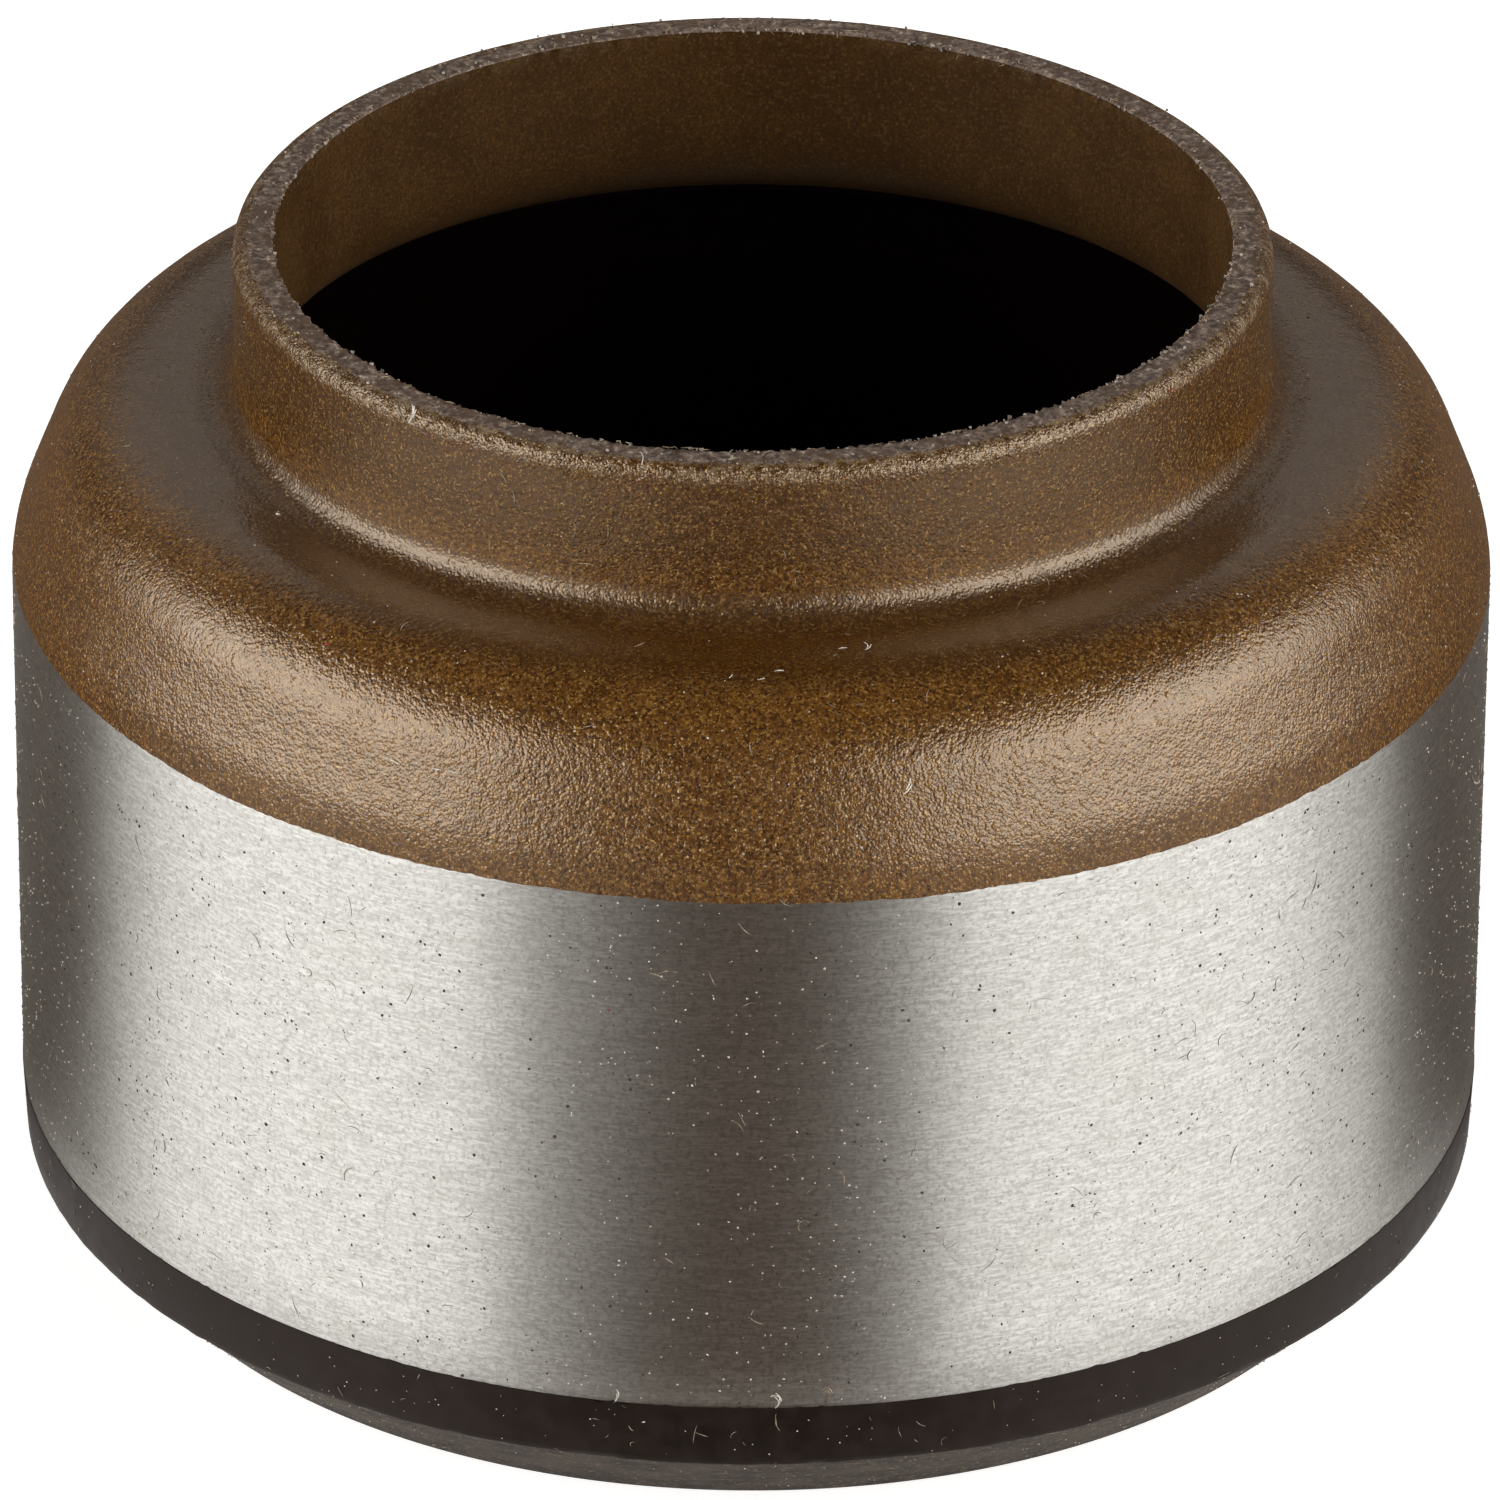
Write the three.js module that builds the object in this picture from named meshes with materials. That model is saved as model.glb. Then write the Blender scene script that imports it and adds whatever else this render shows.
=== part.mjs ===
// Drive axle seal: a drawn steel case with a tall collar, a rubber sealing
// element bonded inside it and round its lower edge, and the garter spring
// that sits in the groove of the main lip.
// Millimetres, +Z up the collar, origin at the centre of the flat bottom face.
// Every outline is a closed section, radius then height, turned round the Z axis.
import * as THREE from 'three';

// Steel case, outside skin
const outerDiameter = 52;
const sheetThickness = 1.4;
const shoulderHeight = 31.5;
const collarHeight = 5.8;
const shoulderStep = 7.9;
const shoulderDrop = 6.9;
const shoulderCornerRadius = 4.4;
const shoulderBlendRadius = 5.6;
const shoulderTaper = 21.5;
const collarFootRadius = 1.1;
const rimCornerRadius = 0.36;

// Steel case, lower end: a joggle that makes room for the rubber band, and
// an inward flange that carries the lips
const bandTopHeight = 5.2;
const bandDepth = 1;
const flangeBendRadius = 3.1;
const flangeClearance = 2.6;

// Shaft that the seal is made for
const shaftDiameter = 30;

// Rubber element
const bondGap = 0.1;
const liningThickness = 0.9;
const liningOverlap = 0.7;
const chamferHeight = 2.9;
const chamferWidth = 3.2;
const bandLeadIn = 0.13;
const noseThickness = 1.3;
const noseChamfer = 0.5;
const lipInterference = 0.6;
const lipHeight = 8.4;
const lipAirAngle = 25;
const lipOilAngle = 48;
const lipRise = 2.2;
const lipCrownWidth = 0.9;
const lipCrownBevel = 0.3;
const waistThickness = 1;
const waistFootRadius = 1;
const beadThickness = 0.4;
const beadSlope = 0.6;
const dustLipHeight = 2.8;
const dustLipInterference = 0.1;
const dustLipEdge = 0.25;
const dustLipUndercut = 0.45;

// Garter spring
const springSectionDiameter = 1.7;
const springClearance = 0.1;
const springOffset = 1.55;
const springLag = 0.4;
const grooveWrap = 70;

// Fineness of the facets
const turnSegments = 48;
const springSides = 12;

const colours = {
  coatedSteel: 0x73553a,
  rubber: 0x1d1a18,
  springSteel: 0x9a9a98,
};

// Sizes that follow from the ones above
const outerRadius = outerDiameter / 2;
const collarRadius = outerRadius - shoulderStep;
const rimHeight = shoulderHeight + collarHeight;
const landTopHeight = shoulderHeight - shoulderDrop;
const shaftRadius = shaftDiameter / 2;
const flangeBoreRadius = shaftRadius + flangeClearance;
const flangeUnderside = liningThickness + bondGap;
const flangeTop = flangeUnderside + sheetThickness;
const bandSeatRadius = outerRadius - bandDepth;
const joggleHeight = bandTopHeight - bandDepth;
const bendRadius = Math.min(flangeBendRadius, joggleHeight - flangeUnderside - bondGap);
const bondedDepth = sheetThickness + bondGap;
const liningDepth = bondedDepth + liningThickness;
const noseRadius = flangeBoreRadius - bondGap - noseThickness;
const lipRadius = shaftRadius - lipInterference;
const springCentreRadius = noseRadius + springOffset;
const springCentreHeight = lipHeight - springLag;
const springSectionRadius = springSectionDiameter / 2;
const grooveRadius = springSectionRadius + springClearance;

const point = (radius, height) => new THREE.Vector2(radius, height);
const radians = (degrees) => THREE.MathUtils.degToRad(degrees);

// Points of an arc in the section, both ends included.
function arc(centre, radius, fromDegrees, toDegrees, steps) {
  const points = [];
  for (let step = 0; step <= steps; step += 1) {
    const angle = radians(fromDegrees + ((toDegrees - fromDegrees) * step) / steps);
    const reach = point(radius * Math.cos(angle), radius * Math.sin(angle));
    points.push(reach.add(centre));
  }
  return points;
}

// A skin of the case lies a given depth inside its outer skin: 0 is the outer
// skin, the sheet thickness is the inner one, and the rubber lies deeper still.
// This is the joggle above the rubber band, from below.
function joggleSkin(depth) {
  const cornerShift = depth * (Math.SQRT2 - 1);
  return [
    point(bandSeatRadius - depth, joggleHeight + cornerShift),
    point(outerRadius - depth, bandTopHeight + cornerShift),
  ];
}

// The same for the domed shoulder, from the straight wall to the flat top.
function shoulderSkin(depth) {
  const slope = radians(shoulderTaper);
  const blendCentre = point(outerRadius - shoulderBlendRadius, landTopHeight);
  const taperFoot = point(Math.cos(slope), Math.sin(slope)).multiplyScalar(shoulderBlendRadius).add(blendCentre);
  const taperTop = shoulderHeight - shoulderCornerRadius * (1 - Math.sin(slope));
  const taperTopRadius = taperFoot.x - (taperTop - taperFoot.y) * Math.tan(slope);
  const cornerCentre = point(
    taperTopRadius - shoulderCornerRadius * Math.cos(slope),
    shoulderHeight - shoulderCornerRadius,
  );
  return [
    ...arc(blendCentre, shoulderBlendRadius - depth, 0, shoulderTaper, 2),
    ...arc(cornerCentre, shoulderCornerRadius - depth, shoulderTaper, 90, 5),
  ];
}

// The same for the tight bend at the collar's foot, from the flat to the collar.
function collarFootSkin(depth) {
  const centre = point(collarRadius + collarFootRadius, shoulderHeight + collarFootRadius);
  return arc(centre, collarFootRadius + depth, -90, -180, 3);
}

// The same for the bend between the flange and the wall, from the flange out.
function flangeBendSkin(depth, steps) {
  const centre = point(bandSeatRadius - bendRadius, flangeUnderside + bendRadius);
  return arc(centre, bendRadius - depth, -90, 0, steps);
}

function caseOutline() {
  const rimCentre = point(collarRadius - rimCornerRadius, rimHeight - rimCornerRadius);
  const outside = [
    point(flangeBoreRadius, flangeUnderside),
    ...flangeBendSkin(0, 4),
    ...joggleSkin(0),
    ...shoulderSkin(0),
    ...collarFootSkin(0),
    ...arc(rimCentre, rimCornerRadius, 0, 90, 2),
  ];
  const inside = [
    point(flangeBoreRadius, flangeTop),
    ...flangeBendSkin(sheetThickness, 3),
    ...joggleSkin(sheetThickness),
    ...shoulderSkin(sheetThickness),
    ...collarFootSkin(sheetThickness),
    point(collarRadius - sheetThickness, rimHeight),
  ];
  return [...outside, ...inside.reverse()];
}

// The band that shows outside, the cover below the flange and the nose round
// its edge, from the bottom face up and in again.
function wrapOutline() {
  const bandSeatDepth = -bondGap;
  const seatCorner = joggleSkin(bandSeatDepth)[0];
  return [
    point(outerRadius - chamferWidth, 0),
    point(outerRadius - bandLeadIn, chamferHeight),
    point(outerRadius, bandTopHeight - bondGap * Math.SQRT2),
    seatCorner,
    ...flangeBendSkin(bandSeatDepth, 4).reverse(),
    point(flangeBoreRadius - bondGap, flangeUnderside - bondGap),
  ];
}

// The lining bonded to the inside of the case, up to the shoulder and back down.
function liningOutline() {
  const liningEnd = collarRadius + collarFootRadius + liningOverlap;
  const liningCeiling = shoulderHeight - bondedDepth;
  const innerBend = Math.max(bendRadius - liningDepth, bondGap);
  const floorHeight = flangeTop + bondGap + liningThickness;
  const innerBendCentre = point(bandSeatRadius - liningDepth - innerBend, floorHeight + innerBend);
  const bonded = [
    point(flangeBoreRadius - bondGap, flangeTop + bondGap),
    ...flangeBendSkin(bondedDepth, 3),
    ...joggleSkin(bondedDepth),
    ...shoulderSkin(bondedDepth),
    point(liningEnd, liningCeiling),
  ];
  const open = [
    ...arc(innerBendCentre, innerBend, -90, 0, 2),
    ...joggleSkin(liningDepth),
    ...shoulderSkin(liningDepth),
    point(liningEnd, liningCeiling - liningThickness),
  ];
  return [...bonded, ...open.reverse()];
}

// The main lip, from its foot on the flange cover up over the groove and
// down its air side.
function mainLipOutline() {
  const floorHeight = flangeTop + bondGap + liningThickness;
  const waistRadius = noseRadius + waistThickness;
  const grooveCentre = point(springCentreRadius, springCentreHeight);
  const groove = arc(grooveCentre, grooveRadius, -grooveWrap, grooveWrap - 360, 7);
  const beadFoot = groove[0].y - beadThickness;
  const crownHeight = lipHeight + lipRise;
  const crownRadius = lipRadius + lipRise * Math.tan(radians(lipOilAngle));
  const airFaceHeight = (noseRadius - lipRadius) / Math.tan(radians(lipAirAngle));
  return [
    ...arc(point(waistRadius + waistFootRadius, floorHeight + waistFootRadius), waistFootRadius, -90, -180, 3),
    point(waistRadius, beadFoot - beadSlope),
    point(groove[0].x, beadFoot),
    ...groove,
    point(crownRadius + lipCrownWidth, crownHeight - lipCrownBevel),
    point(crownRadius, crownHeight),
    point(lipRadius, lipHeight),
    point(noseRadius, lipHeight - airFaceHeight),
  ];
}

// The dust lip, a thin fin that points down and in, and the nose below it.
function dustLipOutline() {
  const tipRadius = shaftRadius - dustLipInterference;
  const tipHeight = dustLipHeight - (noseRadius - tipRadius);
  const lowerTip = tipHeight - dustLipEdge;
  return [
    point(noseRadius, dustLipHeight),
    point(tipRadius, tipHeight),
    point(tipRadius, lowerTip),
    point(noseRadius, lowerTip + (noseRadius - tipRadius) * dustLipUndercut),
    point(noseRadius, noseChamfer),
    point(noseRadius + noseChamfer, 0),
  ];
}

function elementOutline() {
  return [...wrapOutline(), ...liningOutline(), ...mainLipOutline(), ...dustLipOutline()];
}

function springOutline() {
  const centre = point(springCentreRadius, springCentreHeight);
  return arc(centre, springSectionRadius, 0, 360 - 360 / springSides, springSides - 1);
}

// Turns a closed section round the Z axis into one solid.
function turned(name, outline, colour, roughness, metalness) {
  const geometry = new THREE.LatheGeometry([...outline, outline[0].clone()], turnSegments);
  geometry.rotateX(Math.PI / 2);
  const material = new THREE.MeshStandardMaterial({ color: colour, roughness, metalness });
  const mesh = new THREE.Mesh(geometry, material);
  mesh.name = name;
  return mesh;
}

const group = new THREE.Group();
group.add(turned('outer_case', caseOutline(), colours.coatedSteel, 0.55, 0.7));
group.add(turned('sealing_element', elementOutline(), colours.rubber, 0.7, 0));
group.add(turned('garter_spring', springOutline(), colours.springSteel, 0.35, 1));

export default group;
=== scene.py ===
"""Looks for the drive axle seal: the drawn steel case with its brown bonding
coat and ground wall, the rubber element, the garter spring, and the dust and
lint that lie on them. Sections are in millimetres, radius then height, as in
the part's source; meshes are in metres.
"""

import math
import random

import bpy
import numpy as np
from mathutils import Matrix, Vector, noise


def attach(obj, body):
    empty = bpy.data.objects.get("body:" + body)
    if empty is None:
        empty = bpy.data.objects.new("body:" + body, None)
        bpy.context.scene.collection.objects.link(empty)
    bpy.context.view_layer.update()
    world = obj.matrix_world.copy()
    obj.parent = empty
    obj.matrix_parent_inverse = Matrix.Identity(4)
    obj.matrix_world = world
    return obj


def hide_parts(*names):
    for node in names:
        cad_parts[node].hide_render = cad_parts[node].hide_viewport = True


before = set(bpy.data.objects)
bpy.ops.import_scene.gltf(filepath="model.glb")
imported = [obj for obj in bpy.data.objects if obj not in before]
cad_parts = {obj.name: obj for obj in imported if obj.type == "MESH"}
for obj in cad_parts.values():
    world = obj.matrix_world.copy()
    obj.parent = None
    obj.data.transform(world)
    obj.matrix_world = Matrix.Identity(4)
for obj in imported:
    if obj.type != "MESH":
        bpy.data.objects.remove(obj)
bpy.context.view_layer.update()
MM = 0.001

# Steel case, outside skin
OUTER_RADIUS = 26.0
SHEET = 1.4
SHOULDER_HEIGHT = 31.5
RIM_HEIGHT = 37.22
COLLAR_RADIUS = 18.1
LAND_TOP = 24.6
CORNER_RADIUS = 4.4
BLEND_RADIUS = 5.6
TAPER = 21.5
FOOT_RADIUS = 1.1
RIM_CORNER = 0.62

# Steel case, lower end
BAND_TOP = 5.2
BAND_DEPTH = 1.0
BEND_RADIUS = 3.1
FLANGE_BORE = 17.6
FLANGE_UNDERSIDE = 1.0

# Rubber element
BOND_GAP = 0.1
LINING = 0.9
LINING_OVERLAP = 0.7
CHAMFER_HEIGHT = 2.9
CHAMFER_WIDTH = 3.2
BAND_LEAD_IN = 0.13
LINING_BEND = 0.5
NOSE_RADIUS = 16.2
NOSE_CHAMFER = 0.5
LIP_RADIUS = 14.4
LIP_HEIGHT = 8.4
LIP_AIR_ANGLE = 25
LIP_OIL_ANGLE = 48
LIP_RISE = 2.2
LIP_CROWN_WIDTH = 0.9
LIP_CROWN_BEVEL = 0.3
WAIST_THICKNESS = 1.0
WAIST_FOOT_RADIUS = 1.0
BEAD_THICKNESS = 0.4
BEAD_SLOPE = 0.6
DUST_LIP_RADIUS = 14.9
DUST_LIP_HEIGHT = 2.8
DUST_LIP_EDGE = 0.25
DUST_LIP_UNDERCUT = 0.45

# Garter spring
SPRING_RADIUS = 17.75
SPRING_HEIGHT = 8.0
SPRING_COIL = 0.85
SPRING_WIRE = 0.19
SPRING_TURNS = 240
GROOVE_WRAP = 70

# The wall is ground bright up to here, and the coat starts above it.
# The line is a little lower on the right.
COAT_START = 24.87
COAT_START_TILT = -0.009

# The coat pools round the collar's foot as far as this radius.
POOL_RADIUS = 19.43

# How far the dressed skin stays inside the outside radius, so that dust fits,
# and how far the dust stays inside the part's own box
SKIN_MARGIN = 0.03
DUST_MARGIN = 0.002
BOX_HEIGHT = 37.3

# Steps of a full turn
TURNS = 800
RUBBER_TURNS = 640


# The camera, fitted to the outlines in the photograph, whose side is in pixels
CAMERA_DISTANCE = 0.48687
CAMERA_ELEVATION = 0.49057
CAMERA_ROLL = 0.0053
CAMERA_TARGET = Vector((-0.0000091, 0.0, 0.016837))
CAMERA_LENS = 329.65
SENSOR_WIDTH = 36.0
PHOTO_SIDE = 1500


def camera_axes():
    """The camera's right, its up and the way back from what it looks at."""
    back = Vector((0.0, -math.cos(CAMERA_ELEVATION), math.sin(CAMERA_ELEVATION)))
    right = Vector((1.0, 0.0, 0.0))
    up = back.cross(right)
    roll_right = math.cos(CAMERA_ROLL) * right + math.sin(CAMERA_ROLL) * up
    roll_up = math.cos(CAMERA_ROLL) * up - math.sin(CAMERA_ROLL) * right
    return roll_right, roll_up, back


# Sections
def arc(centre, radius, start, end, steps):
    """Points of an arc in the section, both ends included, angles in degrees."""
    turn = np.radians(np.linspace(start, end, steps + 1))
    return np.column_stack([centre[0] + radius * np.cos(turn), centre[1] + radius * np.sin(turn)])


def line(start, end, spacing):
    """Points from start to end, both included, at most a spacing apart."""
    steps = max(1, math.ceil(math.dist(start, end) / spacing))
    share = np.linspace(0, 1, steps + 1)[:, None]
    return (1 - share) * np.array(start, float) + share * np.array(end, float)


def joined(*parts):
    """One row of points from several, with repeated points dropped."""
    points = np.vstack([np.atleast_2d(part) for part in parts])
    keep = [0]
    for index in range(1, len(points)):
        if math.dist(points[index], points[keep[-1]]) > 1e-5:
            keep.append(index)
    return points[keep]


def joggle(depth):
    shift = depth * (math.sqrt(2) - 1)
    foot = (OUTER_RADIUS - BAND_DEPTH - depth, BAND_TOP - BAND_DEPTH + shift)
    top = (OUTER_RADIUS - depth, BAND_TOP + shift)
    return foot, top


def shoulder(depth, blend_steps, corner_steps, taper_spacing):
    """The domed shoulder, from the straight wall to the flat top."""
    slope = math.radians(TAPER)
    blend_centre = (OUTER_RADIUS - BLEND_RADIUS, LAND_TOP)
    taper_foot = (
        blend_centre[0] + BLEND_RADIUS * math.cos(slope),
        blend_centre[1] + BLEND_RADIUS * math.sin(slope),
    )
    taper_top = SHOULDER_HEIGHT - CORNER_RADIUS * (1 - math.sin(slope))
    taper_top_radius = taper_foot[0] - (taper_top - taper_foot[1]) * math.tan(slope)
    corner_centre = (taper_top_radius - CORNER_RADIUS * math.cos(slope), SHOULDER_HEIGHT - CORNER_RADIUS)
    blend = arc(blend_centre, BLEND_RADIUS - depth, 0, TAPER, blend_steps)
    corner = arc(corner_centre, CORNER_RADIUS - depth, TAPER, 90, corner_steps)
    return joined(blend, line(blend[-1], corner[0], taper_spacing), corner)


def collar_foot(depth, steps):
    centre = (COLLAR_RADIUS + FOOT_RADIUS, SHOULDER_HEIGHT + FOOT_RADIUS)
    return arc(centre, FOOT_RADIUS + depth, -90, -180, steps)


def flange_bend(depth, steps):
    centre = (OUTER_RADIUS - BAND_DEPTH - BEND_RADIUS, FLANGE_UNDERSIDE + BEND_RADIUS)
    return arc(centre, BEND_RADIUS - depth, -90, 0, steps)


# Meshes
def closed_grid(name, points):
    """A smooth mesh through a grid of points that closes on itself both ways."""
    rows, columns = points.shape[:2]
    row = np.arange(rows)[:, None]
    column = np.arange(columns)[None, :]
    next_row = (row + 1) % rows
    next_column = (column + 1) % columns
    corners = [
        row * columns + column,
        row * columns + next_column,
        next_row * columns + next_column,
        next_row * columns + column,
    ]
    quads = np.stack(corners, axis=-1).reshape(-1, 4)
    mesh = bpy.data.meshes.new(name)
    mesh.from_pydata(points.reshape(-1, 3).tolist(), [], quads.tolist())
    mesh.polygons.foreach_set("use_smooth", [True] * len(quads))
    return mesh


def turned_mesh(name, outline, turns, move=None):
    """A closed outline turned round the Z axis. move changes radius and height
    grids, one row for each outline point and one column for each turn step."""
    outline = np.array(outline, float)
    angle = np.arange(turns) * (2 * math.pi / turns)
    radius = np.repeat(outline[:, :1], turns, axis=1)
    height = np.repeat(outline[:, 1:], turns, axis=1)
    if move:
        radius, height = move(radius, height, angle)
    points = np.stack([radius * np.cos(angle), radius * np.sin(angle), height], axis=-1) * MM
    return closed_grid(name, points)


def set_band_materials(mesh, turns, numbers):
    """One material number for each band between two outline points."""
    mesh.polygons.foreach_set("material_index", np.repeat(np.array(numbers, np.int32), turns))


def stacked(parts):
    """One outline from rows of points, and the material number of each point."""
    outline = np.vstack([points for _, points in parts])
    numbers = np.concatenate([[number] * len(points) for number, points in parts])
    return outline, numbers


def add_piece(name, mesh, materials, replaced=()):
    piece = bpy.data.objects.new(name, mesh)
    bpy.context.scene.collection.objects.link(piece)
    for material in materials:
        mesh.materials.append(material)
    mesh.update()
    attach(piece, "root")
    if replaced:
        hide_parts(*replaced)
    return piece


def ring_noise(turns, seed, lowest, highest, falloff):
    """A row of smooth random values round a ring, with a spread of about one."""
    dice = np.random.default_rng(seed)
    angle = np.arange(turns) * (2 * math.pi / turns)
    total = np.zeros(turns)
    power = 0.0
    for count in range(lowest, highest + 1):
        size = count ** -falloff
        total += size * np.cos(count * angle + dice.uniform(0, 2 * math.pi))
        power += size * size / 2
    return total / math.sqrt(power)


def surface_noise(radius, height, angle, scale, seed):
    """Noise at each grid point, with features about a scale across, in mm."""
    x = radius * np.cos(angle) / scale
    y = radius * np.sin(angle) / scale
    z = height / scale
    flat = zip(x.ravel(), y.ravel(), z.ravel())
    offset = Vector((seed * 17.3, seed * 5.1, seed * 9.7))
    values = [noise.noise(Vector(place) + offset) for place in flat]
    return np.array(values).reshape(radius.shape)


# Materials
def node(tree, kind, inputs=None, **settings):
    """Adds a shader node. An input that is a socket is linked, and any other is set."""
    made = tree.nodes.new("ShaderNode" + kind)
    for key, value in settings.items():
        setattr(made, key, value)
    for key, value in (inputs or {}).items():
        if isinstance(value, bpy.types.NodeSocket):
            tree.links.new(value, made.inputs[key])
        else:
            made.inputs[key].default_value = value
    return made


def new_material(name):
    material = bpy.data.materials.new(name)
    material.use_nodes = True
    tree = material.node_tree
    tree.nodes.clear()
    shader = node(tree, "BsdfPrincipled")
    node(tree, "OutputMaterial", {"Surface": shader.outputs[0]})
    place = node(tree, "TexCoord").outputs["Object"]
    return material, tree, shader, place


def noise_field(tree, place, scale, detail=2.0, roughness=0.5, stretch=None):
    """A noise value from 0 to 1, with its features 1/scale metres apart."""
    if stretch:
        place = node(tree, "Mapping", {"Vector": place, "Scale": stretch}).outputs[0]
    made = node(tree, "TexNoise", {"Vector": place, "Scale": scale, "Detail": detail, "Roughness": roughness})
    return made.outputs["Fac"]


def ramp(tree, value, low, high, out_low=0.0, out_high=1.0):
    """Maps a value from low..high to out_low..out_high, held at both ends."""
    made = node(
        tree,
        "MapRange",
        {"Value": value, "From Min": low, "From Max": high, "To Min": out_low, "To Max": out_high},
        interpolation_type="SMOOTHSTEP",
    )
    return made.outputs[0]


def maths(tree, operation, first, second):
    made = node(tree, "Math", operation=operation)
    for socket, value in zip(made.inputs, (first, second)):
        if isinstance(value, bpy.types.NodeSocket):
            tree.links.new(value, socket)
        else:
            socket.default_value = value
    return made.outputs[0]


def product(tree, first, second):
    return maths(tree, "MULTIPLY", first, second)


def blend(tree, share, first, second):
    """A colour between two, each a socket or a plain (r, g, b)."""
    made = node(tree, "Mix", data_type="RGBA")
    for index, value in ((0, share), (6, first), (7, second)):
        socket = made.inputs[index]
        if isinstance(value, bpy.types.NodeSocket):
            tree.links.new(value, socket)
        elif index:
            socket.default_value = (*value, 1.0)
        else:
            socket.default_value = value
    return made.outputs[2]


def bump(tree, height, depth_mm, normal=None):
    inputs = {"Height": height, "Distance": depth_mm * MM, "Strength": 1.0}
    if normal:
        inputs["Normal"] = normal
    return node(tree, "Bump", inputs).outputs[0]


def height_of(tree, place):
    """The height above the floor, in millimetres."""
    z = node(tree, "SeparateXYZ", {"Vector": place}).outputs["Z"]
    return maths(tree, "MULTIPLY", z, 1000.0)


def cells(tree, place, scale, randomness=1.0):
    """Rounded cells 1/scale metres across: their height, from 0 between them to
    about 1, and a random tone for each cell."""
    made = node(tree, "TexVoronoi", {"Vector": place, "Scale": scale, "Randomness": randomness})
    tone = node(tree, "SeparateColor", {"Color": made.outputs["Color"]}).outputs[0]
    return maths(tree, "SUBTRACT", 1.0, made.outputs["Distance"]), tone


def radius_of(tree, place):
    """The distance from the seal's axis, in millimetres."""
    flat = node(tree, "VectorMath", {0: place, 1: (1000.0, 1000.0, 0.0)}, operation="MULTIPLY").outputs[0]
    return node(tree, "VectorMath", {0: flat}, operation="LENGTH").outputs["Value"]


def finish(tree, shader, colour, roughness, normal):
    """Links a material's colour, roughness and normal to its shader."""
    for key, socket in (("Base Color", colour), ("Roughness", roughness), ("Normal", normal)):
        tree.links.new(socket, shader.inputs[key])


def set_gloss(shader, ior, tint):
    shader.inputs["IOR"].default_value = ior
    shader.inputs["Specular Tint"].default_value = (*tint, 1.0)


def coat_relief(tree, place, share):
    """Fine rounded grains, a few of them proud, over slower dents. Gives the
    normal, the grains' height and their random tone."""
    wander = node(tree, "TexNoise", {"Vector": place, "Scale": 5000.0, "Detail": 1.0}).outputs["Color"]
    reach = (0.00012, 0.00012, 0.00012)
    wander = node(tree, "VectorMath", {0: wander, 1: reach}, operation="MULTIPLY").outputs[0]
    moved = node(tree, "VectorMath", {0: place, 1: wander}, operation="ADD").outputs[0]
    grain, tone = cells(tree, moved, 9200)
    proud = product(tree, ramp(tree, tone, 0.6, 1.0), grain)
    relief = maths(tree, "ADD", grain, product(tree, proud, 1.5))
    relief = product(tree, relief, share)
    dents = product(tree, noise_field(tree, place, 5200, 2.0, 0.6), share)
    swell = bump(tree, noise_field(tree, place, 1300, 2.0, 0.5), 0.03)
    swell = bump(tree, dents, 0.026, swell)
    return bump(tree, relief, 0.012, swell), grain, tone


def coat_zones(tree, place):
    """How far a place lies on the flat, in the pool round the collar's foot,
    on the collar and in its torn top edge, and how much grain it shows. The
    first three are where the coat's colour is darkened as painted shade, and
    the fourth where pale patches are painted as a highlight."""
    height = height_of(tree, place)
    radius = radius_of(tree, place)
    top = ramp(tree, height, 30.95, 31.42)
    beyond_pool = ramp(tree, radius, POOL_RADIUS - 0.03, POOL_RADIUS + 0.03)
    # Painted shade: the coat's colour is darkened on the flat and round the collar's foot, masked here and
    # below; the foot mask also makes the coat rougher.
    flat = product(tree, top, beyond_pool)
    foot = product(tree, ramp(tree, height, 31.42, 31.46), ramp(tree, height, 31.75, 32.7, 1.0, 0.0))
    foot = product(tree, foot, maths(tree, "SUBTRACT", 1.0, beyond_pool))
    # Painted shade: the collar is masked here so that the coat's colour is darkened on it.
    collar = ramp(tree, height, 32.9, 34.2)
    smooth = product(tree, top, ramp(tree, radius, 18.9, 19.9))
    share = maths(tree, "SUBTRACT", 1.0, product(tree, smooth, 0.6))
    share = maths(tree, "ADD", share, product(tree, ramp(tree, height, 36.2, 36.75), 1.2))
    # Painted highlight: pale patches along the collar's torn top edge.
    rim_edge_highlight = ramp(tree, noise_field(tree, place, 2400, 4.0, 0.8), 0.46, 0.62)
    rim_edge_highlight = product(tree, rim_edge_highlight, ramp(tree, height, 36.45, 36.85))
    return flat, foot, collar, rim_edge_highlight, share


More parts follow.
